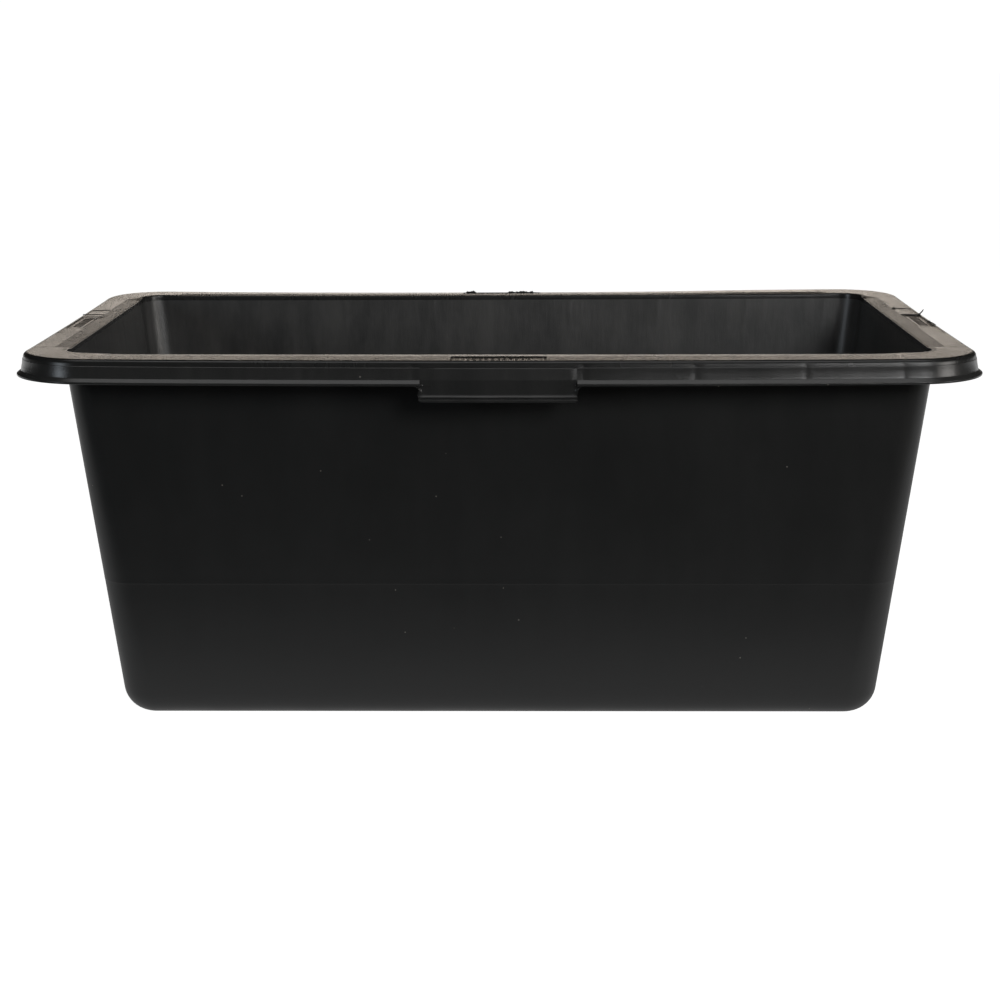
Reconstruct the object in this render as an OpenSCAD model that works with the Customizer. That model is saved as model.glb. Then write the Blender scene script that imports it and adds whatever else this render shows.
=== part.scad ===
// Rectangular mortar mixing tub: one moulding of black plastic, split here into its regions.
// Millimetres. The origin is the centre of the underside, X runs along the length,
// Y from the front (-Y) to the back, and Z up. The tub stands on z = 0.

/* [Tub] */
// Overall length, lip to lip
tub_length = 770; // [740:1:820]
// Overall width, lip to lip
tub_width = 450; // [430:1:500]
// Overall height
tub_height = 314.5; // [280:0.5:330]
// Thickness of the walls
wall = 3; // [2.5:0.1:3.5]
// Thickness of the floor
floor_thick = 3.5; // [3:0.1:5]
// Lean of the walls from the vertical, in degrees
draft = 5.8; // [5:0.1:7]
// Radius of the upright corners where the walls would meet the ground
foot_corner = 27; // [27:1:34]
// Radius of the edge between the walls and the floor
floor_radius = 24; // [18:1:26]

/* [Rim] */
// Radius of the lip's corners, seen from above
lip_corner = 60; // [56:1:66]
// Distance from the lip to the wall's outer face, at the level of the rim
wall_inset = 37; // [34:0.5:40]
// Thickness of the flange and the skirt
rim_thick = 2.8; // [2.4:0.1:3]
// Depth at which the flange ends and the skirt and the wall start
flange_depth = 5; // [4.8:0.1:6]
// Inset of the line where the flat top ends and the shallow bevel to the inside starts
flat_end = 27.2; // [25:0.1:29]
// Slope of that bevel, in degrees
bevel = 4.5; // [3:0.5:9]
// Height of the skirt's lowest edge below the rim's top
skirt_depth = 18.7; // [17:0.1:22]
// Inset of the skirt's outer face, where its line would meet the rim's top
skirt_inset = 6.3; // [5.8:0.1:7]
// Lean of the skirt from the vertical, in degrees
skirt_lean = 11.6; // [9:0.1:12]
// Thickness of the lip that turns out at the skirt's foot
lip_thick = 2; // [2:0.1:3]

/* [Grips] */
// Length of the deeper grip in the middle of each side
grip_length = 122; // [100:1:128]
// Height of a grip's lowest edge below the rim's top
grip_depth = 31.5; // [28:0.5:36]
// Height of the bead along a grip's lowest edge
bead_height = 5.5; // [4:0.5:7]
// Radius where a grip's ends meet the skirt's foot
grip_fillet = 6; // [3:0.5:8]

/* [Webs] */
// Thickness of the webs under the flange
web_thick = 2.5; // [2:0.1:3]
// Distance from a side's middle to its webs: the short sides use only the first two
web_places = [66, 152, 237.5, 313];
// Height of a web's lowest edge below the rim's top
web_depth = 16; // [12:0.5:16.5]

/* [Marking pockets] */
// Length of the pocket in the flat top, in the middle of each side
pocket_length = 75; // [60:1:90]
// Depth of the pocket
pocket_depth = 0.8; // [0.8:0.1:1.4]
// Thickness of the blank pad that fills the pocket's floor
pad_thick = 0.4; // [0.3:0.1:0.7]
// Gap between the pad and the pocket's sides
pad_margin = 2; // [1:0.5:3]
// Length of the shallow recess along the short sides' flat
recess_length = 155; // [120:1:180]
// Depth of that recess
recess_depth = 0.35; // [0.2:0.05:0.5]

/* [Hidden] */
$fn = 64;

FRONT = 0;
RIGHT = 1;
BACK = 2;
LEFT = 3;
SIDES = [FRONT, RIGHT, BACK, LEFT];

plastic = [0.12, 0.12, 0.12];
pad_plastic = [0.2, 0.19, 0.18];

edge_radius = 4;          // outer edge of the flange
inner_edge_radius = 1.2;   // edge from the bevel to the inside of the wall
under_radius = 1.5;       // both corners of the channel under the flange
lip_radius = 0.9;
lip_fillet = 3;
arc_steps = 6;
hull_fn = 32;
slice = 0.01;             // height of the discs that end the hulls
cut = 1;                  // how far a cutter passes a surface

lip_rise = 4.5;           // height of the turned-out lip and the fillet above it
grip_inset = 3;           // outer face of a grip, above its bead
bead_inset = 0.8;         // outer face of the bead
bead_radius = 1.2;
grip_foot_thick = 5.2;    // from front to back, at the bead
pocket_start = 10;        // inset of the pocket's outer side
pocket_width = flat_end - pocket_start - 0.2;

// ---- outlines -----------------------------------------------------------------------------

// Points of the arc of radius r that rounds the corner b between a and c
function corner_arc(a, b, c, r) =
    let (u = (a - b) / norm(a - b),
         v = (c - b) / norm(c - b),
         half = acos(u * v) / 2,
         centre = b + (u + v) / norm(u + v) * r / sin(half),
         from = b + u * r / tan(half) - centre,
         turn = cross(from, b + v * r / tan(half) - centre) > 0 ? 1 : -1,
         sweep = turn * (180 - 2 * half))
    [for (i = [0 : arc_steps])
        let (angle = sweep * i / arc_steps)
        centre + [from.x * cos(angle) - from.y * sin(angle),
                  from.x * sin(angle) + from.y * cos(angle)]];

// A closed outline from its sharp corners, each given as [x, y, radius]
function rounded(corners) =
    let (n = len(corners), flat = [for (p = corners) [p.x, p.y]])
    [for (i = [0 : n - 1])
        each corners[i].z > 0
            ? corner_arc(flat[(i + n - 1) % n], flat[i], flat[(i + 1) % n], corners[i].z)
            : [flat[i]]];

// Rim outlines are drawn in [inset from the lip, height from the rim's top].
// Inset of the skirt's two faces and of the wall's two faces at a depth
function skirt_outer(depth) = skirt_inset - depth * tan(skirt_lean);
function skirt_inner(depth) = skirt_outer(depth) + rim_thick / cos(skirt_lean);
function wall_outer(depth) = wall_inset + depth * tan(draft);
function wall_inner(depth) = wall_outer(depth) + wall / cos(draft);

// Depth at which the bevel's line meets the line of the wall's inner face
bevel_depth = (wall_inner(0) - flat_end) * tan(bevel) / (1 - tan(bevel) * tan(draft));

module flange_outline()
    polygon(rounded([
        [skirt_outer(flange_depth), -flange_depth, 0],
        [skirt_outer(0), 0, edge_radius],
        [flat_end, 0, 0],
        [wall_inner(bevel_depth), -bevel_depth, inner_edge_radius],
        [wall_inner(flange_depth), -flange_depth, 0],
        [wall_outer(flange_depth), -flange_depth, 0],
        [wall_outer(rim_thick), -rim_thick, under_radius],
        [skirt_inner(rim_thick), -rim_thick, under_radius],
        [skirt_inner(flange_depth), -flange_depth, 0]]));

module skirt_outline()
    polygon(rounded([
        [skirt_outer(flange_depth), -flange_depth, 0],
        [skirt_inner(flange_depth), -flange_depth, 0],
        [skirt_inner(skirt_depth), -skirt_depth, 0],
        [0, -skirt_depth, lip_radius],
        [0, -skirt_depth + lip_thick, lip_radius],
        [skirt_outer(skirt_depth - lip_rise), -skirt_depth + lip_rise, lip_fillet]]));

module grip_outline()
    polygon(rounded([
        [skirt_outer(flange_depth), -flange_depth, 0],
        [skirt_inner(flange_depth), -flange_depth, 0],
        [bead_inset + grip_foot_thick, -grip_depth, lip_radius],
        [bead_inset, -grip_depth, bead_radius],
        [bead_inset, -grip_depth + bead_height - 1, bead_radius],
        [grip_inset, -grip_depth + bead_height, 0],
        [grip_inset, -skirt_depth + lip_rise, 0]]));

// A grip seen from outside: straight beside the skirt, with fillets under the skirt's foot
module grip_face() {
    polygon(rounded([
        [-grip_length / 2, -flange_depth, 0],
        [-grip_length / 2, -grip_depth, lip_fillet],
        [grip_length / 2, -grip_depth, lip_fillet],
        [grip_length / 2, -flange_depth, 0]]));
    for (end = [0, 1])
        mirror([end, 0])
            translate([grip_length / 2, -skirt_depth - grip_fillet])
                difference() {
                    square(grip_fillet);
                    translate([grip_fillet, 0]) circle(grip_fillet);
                }
}

// A web fills the channel between the skirt and the wall
module web_outline()
    polygon(rounded([
        [skirt_inner(web_depth), -web_depth, 0],
        [skirt_inner(rim_thick), -rim_thick, under_radius],
        [wall_outer(rim_thick), -rim_thick, under_radius],
        [wall_outer(web_depth), -web_depth, 0]]));

// ---- placing ------------------------------------------------------------------------------

// Half of the overall size across a side, and the straight run of its rim
function reach(side) = (side % 2 == 0 ? tub_width : tub_length) / 2;
function run(side) = (side % 2 == 0 ? tub_length : tub_width) - 2 * lip_corner;

// A side's own frame: X along the side, Y inwards from the lip, Z up from the rim's top
module at_side(side)
    rotate(90 * side) translate([0, -reach(side), tub_height]) children();

// Extrudes a rim outline along a side, centred on x
module along_side(length, x = 0)
    translate([x - length / 2, 0, 0]) rotate([90, 0, 90]) linear_extrude(length) children();

// Carries a rim outline round the whole tub
module around_rim() {
    for (side = SIDES)
        at_side(side) along_side(run(side)) children();
    for (mx = [0, 1], my = [0, 1])
        mirror([mx, 0]) mirror([0, my])
            translate([tub_length / 2 - lip_corner, tub_width / 2 - lip_corner, tub_height])
                rotate_extrude(angle = 90)
                    translate([lip_corner, 0]) mirror([1, 0]) children();
}

// ---- tub ----------------------------------------------------------------------------------

// A tapered, rounded block: the tub's outside, or the space inside it when skin is the wall
module tub_block(skin, base_z, top_z, edge) {
    skin_across = skin / cos(draft);
    top_depth = tub_height - top_z;
    top_radius = lip_corner - wall_outer(top_depth) - skin_across;
    foot_inset = wall_outer(tub_height) + foot_corner;
    edge_centre = [foot_corner - skin_across + (base_z + edge) * tan(draft) - edge / cos(draft),
                   base_z + edge];
    edge_arc = [for (i = [0 : arc_steps])
        let (angle = -90 + (90 - draft) * i / arc_steps)
        edge_centre + edge * [cos(angle), sin(angle)]];
    hull()
        for (mx = [0, 1], my = [0, 1])
            mirror([mx, 0]) mirror([0, my]) {
                translate([tub_length / 2 - lip_corner, tub_width / 2 - lip_corner, top_z - slice])
                    cylinder(h = slice, r = top_radius, $fn = hull_fn);
                translate([tub_length / 2 - foot_inset, tub_width / 2 - foot_inset])
                    rotate_extrude($fn = hull_fn)
                        polygon([[0, base_z], each edge_arc, [0, edge_arc[arc_steps].y]]);
            }
}

module tub_shell()
    color(plastic)
        difference() {
            tub_block(0, 0, tub_height - flange_depth, floor_radius);
            tub_block(wall, floor_thick, tub_height - flange_depth + slice, floor_radius - wall);
        }

// ---- rim ----------------------------------------------------------------------------------

// The flat-topped flange and its bevel, with the pockets and the two shallow recesses
module rim_flange()
    color(plastic)
        difference() {
            around_rim() flange_outline();
            for (side = SIDES)
                at_side(side)
                    translate([-pocket_length / 2, pocket_start, -pocket_depth])
                        cube([pocket_length, pocket_width, pocket_depth + cut]);
            for (side = [RIGHT, LEFT])
                at_side(side)
                    translate([-recess_length / 2, pocket_start, -recess_depth])
                        cube([recess_length, pocket_width, recess_depth + cut]);
        }

// The skirt hangs from the flange's outer edge and leaves room for the grips
module rim_skirt()
    color(plastic)
        difference() {
            around_rim() skirt_outline();
            for (side = SIDES)
                at_side(side)
                    translate([-grip_length / 2, -cut, -grip_depth])
                        cube([grip_length, wall_inset, grip_depth]);
        }

module grip(side)
    color(plastic)
        at_side(side)
            intersection() {
                along_side(grip_length + 2 * grip_fillet) grip_outline();
                rotate([90, 0, 0]) translate([0, 0, -wall_inset])
                    linear_extrude(wall_inset + cut) grip_face();
            }

module rim_webs()
    color(plastic)
        for (side = SIDES, place = web_places, end = [-1, 1])
            if (place < run(side) / 2)
                at_side(side) along_side(web_thick, end * place) web_outline();

// A blank pad on the pocket's floor, where a maker's marking would go
module pad(side)
    color(pad_plastic)
        at_side(side)
            translate([-pocket_length / 2 + pad_margin, pocket_start + pad_margin, -pocket_depth])
                cube([pocket_length - 2 * pad_margin, pocket_width - 2 * pad_margin, pad_thick]);

tub_shell();
rim_flange();
rim_skirt();
grip(FRONT);  // front_grip
grip(RIGHT);  // right_grip
grip(BACK);  // back_grip
grip(LEFT);  // left_grip
rim_webs();
pad(FRONT);  // front_pad
pad(RIGHT);  // right_pad
pad(BACK);  // back_pad
pad(LEFT);  // left_pad
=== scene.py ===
"""Mortar mixing tub: smooth meshes and moulded-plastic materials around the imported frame.

Units are metres. X runs along the length, Y from the front grip to the back, Z up.
Rim shapes are drawn in two numbers: the inset from the lip, and the height from the rim's top.
"""
import math

import bmesh
import bpy
from mathutils import Euler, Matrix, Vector, noise


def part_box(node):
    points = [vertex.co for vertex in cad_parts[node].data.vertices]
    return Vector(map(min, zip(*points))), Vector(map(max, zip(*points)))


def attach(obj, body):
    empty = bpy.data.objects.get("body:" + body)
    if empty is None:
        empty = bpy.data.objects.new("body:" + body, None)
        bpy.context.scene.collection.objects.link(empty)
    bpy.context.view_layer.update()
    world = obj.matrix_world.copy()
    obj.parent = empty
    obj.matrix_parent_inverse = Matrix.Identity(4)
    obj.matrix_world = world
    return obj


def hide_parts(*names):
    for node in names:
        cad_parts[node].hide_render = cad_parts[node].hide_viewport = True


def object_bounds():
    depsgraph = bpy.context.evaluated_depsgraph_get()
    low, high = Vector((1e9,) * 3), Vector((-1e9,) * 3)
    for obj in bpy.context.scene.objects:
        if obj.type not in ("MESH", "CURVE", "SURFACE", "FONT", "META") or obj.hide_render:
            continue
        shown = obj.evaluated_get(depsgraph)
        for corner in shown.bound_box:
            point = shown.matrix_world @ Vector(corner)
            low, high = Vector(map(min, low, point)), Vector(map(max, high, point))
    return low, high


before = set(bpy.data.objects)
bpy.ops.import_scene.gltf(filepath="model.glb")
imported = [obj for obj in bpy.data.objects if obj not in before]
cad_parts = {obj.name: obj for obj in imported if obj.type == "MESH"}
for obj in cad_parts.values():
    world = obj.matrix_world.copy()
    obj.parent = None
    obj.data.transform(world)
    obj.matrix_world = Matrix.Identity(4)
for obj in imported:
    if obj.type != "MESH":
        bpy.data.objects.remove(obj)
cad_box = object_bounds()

MM = 0.001

# ---- sizes read from the frame --------------------------------------------------------------

LOW, HIGH = (Vector(corner) for corner in cad_box)
LENGTH, WIDTH, HEIGHT = HIGH - LOW
SHELL_LOW, SHELL_HIGH = (Vector(corner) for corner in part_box("tub_shell"))
SKIRT_LOW = Vector(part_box("rim_skirt")[0])
GRIP_LOW, GRIP_HIGH = (Vector(corner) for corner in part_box("front_grip"))
PAD_LOW, PAD_HIGH = (Vector(corner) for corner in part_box("front_pad"))

FLANGE_DEPTH = HIGH.z - SHELL_HIGH.z            # where the flange ends and the wall starts
SKIRT_DEPTH = HIGH.z - SKIRT_LOW.z
GRIP_DEPTH = HIGH.z - GRIP_LOW.z
GRIP_FILLET = 6 * MM
GRIP_HALF = (GRIP_HIGH.x - GRIP_LOW.x) / 2 - GRIP_FILLET
WALL_TOP_INSET = SHELL_LOW.y - LOW.y            # wall's outer face, at the flange's foot

# ---- sizes of the moulding that the boxes don't give ------------------------------------------

DRAFT = math.radians(5.8)
WALL = 3 * MM
FLOOR = 3.5 * MM
FLOOR_RADIUS = 24 * MM
FOOT_CORNER = 27 * MM
LIP_CORNER = 60 * MM
RIM_THICK = 2.8 * MM
SKIRT_LEAN = math.radians(11.6)
SKIRT_INSET = 6.3 * MM
LIP_THICK = 1.8 * MM
LIP_RISE = 4.4 * MM
FLAT_END = 27.2 * MM
BEVEL = math.radians(4.5)
EDGE_RADIUS = 4 * MM
INNER_EDGE_RADIUS = 1.2 * MM
UNDER_RADIUS = 1.5 * MM
WEB_PLACES = [66 * MM, 152 * MM, 237.5 * MM, 313 * MM]
WEB_THICK = 2.5 * MM
WEB_DEPTH = 16 * MM
POCKET_HALF = 37.5 * MM
POCKET_START = 10 * MM
POCKET_END = 27 * MM
POCKET_DEPTH = HIGH.z - PAD_LOW.z
RECESS_HALF = 77.5 * MM
RECESS_DEPTH = 0.35 * MM
EDGE_STEP = 0.3 * MM                            # how far a pocket's side leans
LEDGE = 0.3 * MM                                # fine step along the top of the skirt
SINK_DEPTH = 0.25 * MM                          # of the marks that the webs leave on the skirt
WITNESS_Z = 120 * MM                            # height of the line round the walls

GRIP_INSET = 3 * MM
BEAD_INSET = 0.9 * MM
BEAD_HEIGHT = 5.5 * MM
GRIP_FOOT = 5.2 * MM                            # from front to back, at the bead
PANEL_TOP = [-5.7, -5.55, -5.4, -5.3]           # heights in mm where a grip's raised panel starts
PANEL_RISE = 0.35 * MM

# How the moulding has warped. All of it lowers the rim, so the tub stays in the CAD box.
FRONT_DROOP = 1.3 * MM
BACK_DROOP = 2.2 * MM
END_DROOP = 1.4 * MM
DROOP_REACH = 40 * MM                           # inset at which the outer edge's droop ends
BOW = 0.6 * MM                                  # of the whole rim, in the middle of its length
FRONT_LOW = 0.65 * MM
TWIST = 2.2 * MM                                # drop of the back left corner

FRONT, RIGHT, BACK, LEFT = range(4)
OUTWARD = [Vector((0, -1)), Vector((1, 0)), Vector((0, 1)), Vector((-1, 0))]


def smooth(low, high, value):
    """0 at low, 1 at high, with a soft start and end."""
    t = min(1.0, max(0.0, (value - low) / (high - low)))
    return t * t * (3 - 2 * t)


def bump(value, centre, width):
    """A soft bell of height 1, about width wide."""
    return math.exp(-((value - centre) / (width / 2)) ** 2)


# ---- outlines -------------------------------------------------------------------------------

def rounded(corners, step=0.5 * MM):
    """A closed outline of (x, y) from sharp corners (x, y, radius), arcs as short chords."""
    points = []
    for i, (x, y, radius) in enumerate(corners):
        here = Vector((x, y))
        if radius == 0:
            points.append(here)
            continue
        before = Vector(corners[i - 1][:2]) - here
        after = Vector(corners[(i + 1) % len(corners)][:2]) - here
        before.normalize()
        after.normalize()
        half = math.acos(max(-1.0, min(1.0, before.dot(after)))) / 2
        centre = here + (before + after).normalized() * radius / math.sin(half)
        start = here + before * radius / math.tan(half) - centre
        end = here + after * radius / math.tan(half) - centre
        sweep = math.atan2(start.x * end.y - start.y * end.x, start.dot(end))
        count = max(3, math.ceil(abs(sweep) * radius / step))
        for k in range(count + 1):
            turn = sweep * k / count
            points.append(centre + Vector((
                start.x * math.cos(turn) - start.y * math.sin(turn),
                start.x * math.sin(turn) + start.y * math.cos(turn))))
    return points


def divided(points, longest):
    """The same closed outline, with no stretch longer than the given length."""
    result = []
    for here, there in zip(points, points[1:] + points[:1]):
        count = max(1, math.ceil((there - here).length / longest))
        result += [here.lerp(there, k / count) for k in range(count)]
    return result


def skirt_outer(depth):
    return SKIRT_INSET - depth * math.tan(SKIRT_LEAN)


def skirt_inner(depth):
    return skirt_outer(depth) + RIM_THICK / math.cos(SKIRT_LEAN)


def wall_outer(depth):
    return WALL_TOP_INSET + (depth - FLANGE_DEPTH) * math.tan(DRAFT)


def wall_inner(depth):
    return wall_outer(depth) + WALL / math.cos(DRAFT)


def flange_outline():
    bevel_depth = (wall_inner(0) - FLAT_END) * math.tan(BEVEL)
    edge = 0.3 * MM
    outline = rounded([
        (skirt_outer(FLANGE_DEPTH), -FLANGE_DEPTH, 0),
        (skirt_outer(0), 0, EDGE_RADIUS),
        (POCKET_START - edge, 0, 0),
        (POCKET_START, 0, 0),
        (POCKET_START + edge, 0, 0),
        (POCKET_END - edge, 0, 0),
        (POCKET_END, 0, 0),
        (FLAT_END, 0, 0),
        (wall_inner(bevel_depth), -bevel_depth, INNER_EDGE_RADIUS),
        (wall_inner(FLANGE_DEPTH), -FLANGE_DEPTH, 0),
        (wall_outer(FLANGE_DEPTH), -FLANGE_DEPTH, 0),
        (wall_outer(RIM_THICK), -RIM_THICK, UNDER_RADIUS),
        (skirt_inner(RIM_THICK), -RIM_THICK, UNDER_RADIUS),
        (skirt_inner(FLANGE_DEPTH), -FLANGE_DEPTH, 0)])
    return divided(outline, 3 * MM)


def skirt_outline():
    outline = rounded([
        (skirt_outer(FLANGE_DEPTH), -FLANGE_DEPTH, 0),
        (skirt_inner(FLANGE_DEPTH), -FLANGE_DEPTH, 0),
        (skirt_inner(SKIRT_DEPTH), -SKIRT_DEPTH, 0.6 * MM),
        (0, -SKIRT_DEPTH, 0.85 * MM),
        (0, -SKIRT_DEPTH + LIP_THICK, 0.85 * MM),
        (skirt_outer(SKIRT_DEPTH - LIP_RISE), -SKIRT_DEPTH + LIP_RISE, 1.0 * MM),
        (skirt_outer(FLANGE_DEPTH + 4 * MM), -FLANGE_DEPTH - 4 * MM, 0),
        (skirt_outer(FLANGE_DEPTH) - LEDGE, -FLANGE_DEPTH - LEDGE, 0)], 0.3 * MM)
    return divided(outline, 2 * MM)


# ---- stations round the tub -------------------------------------------------------------------

class Station:
    """A place on the rim: a centre line point, the way out, the side and the run along it."""

    def __init__(self, centre, out, side, along):
        self.centre = centre
        self.out = out
        self.side = side
        self.along = along

    def at(self, inset, height):
        """A point of the rim, from its inset from the lip and its height from the rim's top."""
        flat = self.centre + self.out * (LIP_CORNER - inset)
        return Vector((flat.x, flat.y, HIGH.z + height))

    def on_ring(self, centre_inset, radius, z):
        """A point of the shell, whose corners have the given centres and radius at this height."""
        shrink = Vector(((LENGTH / 2 - centre_inset) / (LENGTH / 2 - LIP_CORNER),
                         (WIDTH / 2 - centre_inset) / (WIDTH / 2 - LIP_CORNER)))
        flat = self.centre * shrink + self.out * radius
        return Vector((flat.x, flat.y, z))


def is_long(side):
    return side in (FRONT, BACK)


def reach_of(side):
    """Distance from the middle of the tub to the lip, square to a side."""
    return (WIDTH if is_long(side) else LENGTH) / 2


def along_of(side):
    """The direction along a side, anticlockwise seen from above."""
    out = OUTWARD[side]
    return Vector((-out.y, out.x))


def half_run(side):
    """Half the straight length of a side's lip."""
    return (LENGTH if is_long(side) else WIDTH) / 2 - LIP_CORNER


def side_point(side, inset, along, height):
    """A point by a side, warped, from its inset, its place along and its height from the top."""
    flat = OUTWARD[side] * (reach_of(side) - inset) + along_of(side) * along
    return warped(Vector((flat.x, flat.y, HIGH.z + height)))


def station_places(side):
    """Places along a side: evenly spread, and closer at the webs, the grip and the pocket."""
    half = half_run(side)
    places = {0.0}
    spread = 22 if is_long(side) else 12
    places |= {half * k / spread for k in range(1, spread)}
    for web in WEB_PLACES:
        if web < half:
            places |= {web + d * MM for d in (-6, -4.5, -3, -2, -1, 0, 1, 2, 3, 4.5, 6)}
    places |= {GRIP_HALF, POCKET_HALF - EDGE_STEP, POCKET_HALF, POCKET_HALF + EDGE_STEP}
    places |= {RECESS_HALF + d * MM for d in (-1.4, -1.0, -0.6, -0.3, 0, 0.3)}
    kept = []
    special = {GRIP_HALF, POCKET_HALF, POCKET_HALF - EDGE_STEP, RECESS_HALF, half}
    for place in sorted(places):
        if place >= half:
            continue
        if kept and place - kept[-1] < 0.25 * MM and place not in special:
            continue
        kept.append(place)
    return [-p for p in reversed(kept) if p > 0] + kept


def make_stations(corner_steps=20):
    """Every station in order round the rim, from the front's left end."""
    stations = []
    for side in range(4):
        out = OUTWARD[side]
        along = along_of(side)
        reach = reach_of(side) - LIP_CORNER
        for place in station_places(side):
            stations.append(Station(out * reach + along * place, out, side, place))
        corner = out * reach + along * half_run(side)
        for k in range(corner_steps + 1):
            angle = math.pi / 2 * k / corner_steps
            turned = out * math.cos(angle) + along * math.sin(angle)
            beyond = LIP_CORNER * math.sin(angle)
            on_side, run = side, half_run(side) + beyond
            if angle > math.pi / 4:
                on_side = (side + 1) % 4
                run = -half_run(on_side) - LIP_CORNER * math.cos(angle)
            stations.append(Station(corner, turned, on_side, run))
    return stations


STATIONS = make_stations()


# ---- how the moulding departs from its drawing -------------------------------------------------

def droop(point):
    """How far the rim's outer edge hangs at a point, most in the middle of the long sides."""
    x_part = max(0.0, 1 - (point.x / (LENGTH / 2)) ** 2)
    y_part = max(0.0, 1 - (point.y / (WIDTH / 2)) ** 2)
    if abs(point.x) / LENGTH > abs(point.y) / WIDTH:
        return END_DROOP * y_part * smooth(0.0, 0.6, y_part)
    amount = FRONT_DROOP
    if point.y >= 0:
        amount = BACK_DROOP * (1 - 0.9 * smooth(0.12, 0.30, point.x))   # it fades to the right
    return amount * x_part * smooth(0.0, 0.5, x_part)


def inset_of(point):
    """Inset from the lip's outline, near enough for a warp."""
    return min(LENGTH / 2 - abs(point.x), WIDTH / 2 - abs(point.y))


def warped(point):
    """The drawing's point, moved as the cooled moulding has moved."""
    out = max(0.0, min(1.0, 1 - inset_of(point) / DROOP_REACH))
    up = smooth(0.35, 1.0, point.z / HIGH.z)
    back = max(0.0, min(1.0, 0.5 + point.y / WIDTH))
    right = 0.5 + point.x / LENGTH
    lower = droop(point) * out + BOW * max(0.0, 1 - (point.x / (LENGTH / 2)) ** 2)
    lower += FRONT_LOW * (1 - back) + TWIST * (1 - right) * back
    return Vector((point.x, point.y, point.z - lower * up))


def at_front(station):
    """1 by the front, fading to 0 along the short sides."""
    return 0 if station.side == BACK else smooth(0.0, -0.1, station.centre.y)


def corner_share(station):
    """0 where a side has its bevel, 1 where the corner runs on flat."""
    if is_long(station.side):
        ends, start, full = WEB_PLACES[3], -14, 12
    else:
        front = at_front(station)
        ends, start, full = WEB_PLACES[1], -3 + 2 * front, 12 - 5 * front
    return smooth(ends + start * MM, ends + full * MM, abs(station.along))


def strip_drop(station, inset):
    """How far the pocket, or the short sides' recess, lies below the flat top at a point."""
    along = abs(station.along)
    sides = min((inset - POCKET_START) / EDGE_STEP, (POCKET_END - inset) / EDGE_STEP)
    if along < POCKET_HALF - 0.01 * MM:
        return POCKET_DEPTH * max(0.0, min(1.0, sides, (POCKET_HALF - along) / EDGE_STEP))
    if is_long(station.side):
        return 0.0
    crease = bump(along, RECESS_HALF - 0.6 * MM, 1.4 * MM) * 0.1 * MM
    if along < RECESS_HALF - 0.01 * MM:
        return crease + RECESS_DEPTH * min(1.0, sides)
    return crease


def rim_point(station, inset, height):
    """A point of the flange or skirt, with its pockets, sinks and the flat corners."""
    along = abs(station.along)
    webs = WEB_PLACES if is_long(station.side) else WEB_PLACES[:2]
    if height > -RIM_THICK * 0.8 and inset > POCKET_START - 1 * MM:
        crease = bump(along, webs[-1] + 1.5 * MM, 1.6 * MM) * 0.14 * MM * at_front(station)
        sinks = sum(bump(along, web, 4 * MM) for web in webs[:-1]) * 0.08 * MM
        if POCKET_START <= inset <= POCKET_END and height > -0.1 * MM:
            height -= strip_drop(station, inset)
        if inset > FLAT_END:
            height += corner_share(station) * (inset - FLAT_END) * math.tan(BEVEL)
        height -= crease + sinks
    on_skirt = -SKIRT_DEPTH + 3.5 * MM < height < -2.5 * MM
    if on_skirt and inset < skirt_outer(-height) + 0.6 * MM:
        inset += sum(bump(along, web, 6 * MM) for web in webs) * SINK_DEPTH
    return warped(station.at(inset, height))


# ---- mesh helpers -----------------------------------------------------------------------------

def add_object(name, vertices, faces):
    mesh = bpy.data.meshes.new(name)
    mesh.from_pydata([tuple(v) for v in vertices], [], faces)
    mesh.validate()
    mesh.update()
    item = bpy.data.objects.new(name, mesh)
    bpy.context.scene.collection.objects.link(item)
    return item


def tidy_mesh(item, sharp=35, merge=1e-6):
    """Joins doubled points, turns the faces outwards and shades smooth but for sharp edges."""
    work = bmesh.new()
    work.from_mesh(item.data)
    bmesh.ops.remove_doubles(work, verts=work.verts, dist=merge)
    bmesh.ops.dissolve_degenerate(work, edges=work.edges, dist=merge)
    bmesh.ops.recalc_face_normals(work, faces=work.faces)
    limit = math.radians(sharp)
    for face in work.faces:
        face.smooth = True
    for edge in work.edges:
        edge.smooth = len(edge.link_faces) == 2 and edge.calc_face_angle(0) < limit
    work.to_mesh(item.data)
    work.free()
    return item


def loft(rings, closed_rings, cap_ends):
    """Vertices and faces between rings of equal length."""
    count = len(rings[0])
    vertices = [point for ring in rings for point in ring]
    faces = []
    pairs = len(rings) if closed_rings else len(rings) - 1
    for r in range(pairs):
        low, high = r * count, (r + 1) % len(rings) * count
        for k in range(count):
            n = (k + 1) % count
            faces.append((low + k, low + n, high + n, high + k))
    if cap_ends:
        faces.append(tuple(range(count)))
        faces.append(tuple(reversed(range((len(rings) - 1) * count, len(rings) * count))))
    return vertices, faces


def merged(parts):
    """One vertex and face list from several."""
    vertices, faces = [], []
    for part_vertices, part_faces in parts:
        base = len(vertices)
        vertices += part_vertices
        faces += [tuple(base + i for i in face) for face in part_faces]
    return vertices, faces


# ---- the pieces -------------------------------------------------------------------------------

def make_flange():
    """The flange; its bevel, edges and underside have the second material."""
    outline = flange_outline()
    rings = [[rim_point(station, *point) for point in outline] for station in STATIONS]
    flange = tidy_mesh(add_object("rim_flange_body", *loft(rings, True, False)))
    count = len(outline)
    for face in flange.data.polygons:
        station = STATIONS[face.vertices[0] // count]
        reach = FLAT_END if corner_share(station) < 0.5 else wall_inner(0) - 1 * MM
        insets = [outline[v % count].x for v in face.vertices]
        heights = [outline[v % count].y for v in face.vertices]
        on_flat = max(insets) <= reach + 0.1 * MM and min(insets) >= POCKET_START - 4 * MM
        face.material_index = 0 if on_flat and min(heights) > -1 * MM else 1
    return flange


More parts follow.
